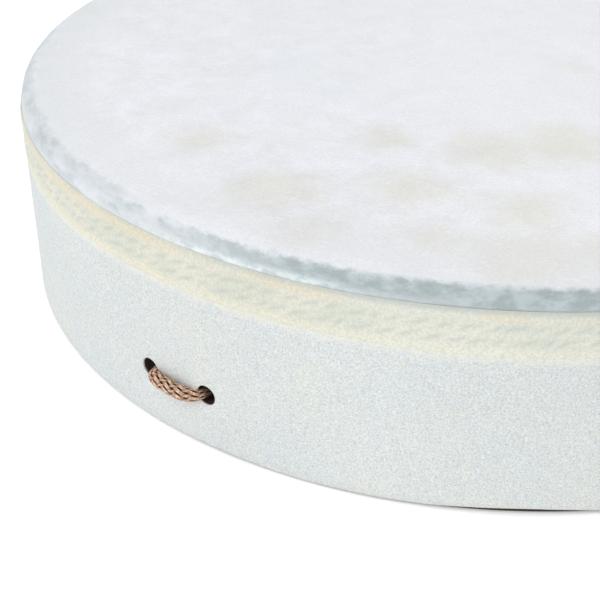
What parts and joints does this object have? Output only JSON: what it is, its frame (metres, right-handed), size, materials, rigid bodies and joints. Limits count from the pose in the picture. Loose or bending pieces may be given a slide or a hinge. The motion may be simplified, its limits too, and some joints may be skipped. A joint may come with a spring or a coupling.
{
  "type": "frame drum",
  "caption": "Shallow round frame drum with a fibrous film head, a fabric-covered shell and a laced rope handle across its open back.",
  "frame": {"origin": "centre of the open rim, on the surface that the drum stands on with its head up", "axes": "+Z along the drum's axis, from the open rim to the head; X and Y along the rope handle's arms, with the pictured pair of rope holes on -Y"},
  "size_m": [0.418, 0.418, 0.0889],
  "materials": {
    "shell_fibre": "dark resin-bonded wood fibre, matte",
    "wrap_fabric": "white fibrous covering, matte",
    "head_film": "white skin-like fibrous film, satin",
    "band_fabric": "cream fibrous band, matte",
    "rope_braid": "tan braided rope, matte"
  },
  "bodies": {
    "drum": {"shell": "shell_fibre", "shell_wrap": "wrap_fabric", "drumhead": "head_film", "head_band": "band_fabric", "rope_arm_front": "rope_braid", "rope_arm_right": "rope_braid", "rope_arm_back": "rope_braid", "rope_arm_left": "rope_braid"},
    "grip": {"grip_lashing": "rope_braid", "grip_knot": "rope_braid"}
  },
  "joints": [
    {"name": "grip_pull", "type": "slide", "parent": "drum", "child": "grip", "axis": [0, 0, 1], "range_m": [-0.01, 0.012], "stiffness_N_per_m": 500, "deforming": ["rope_arm_front", "rope_arm_right", "rope_arm_back", "rope_arm_left"]}
  ]
}
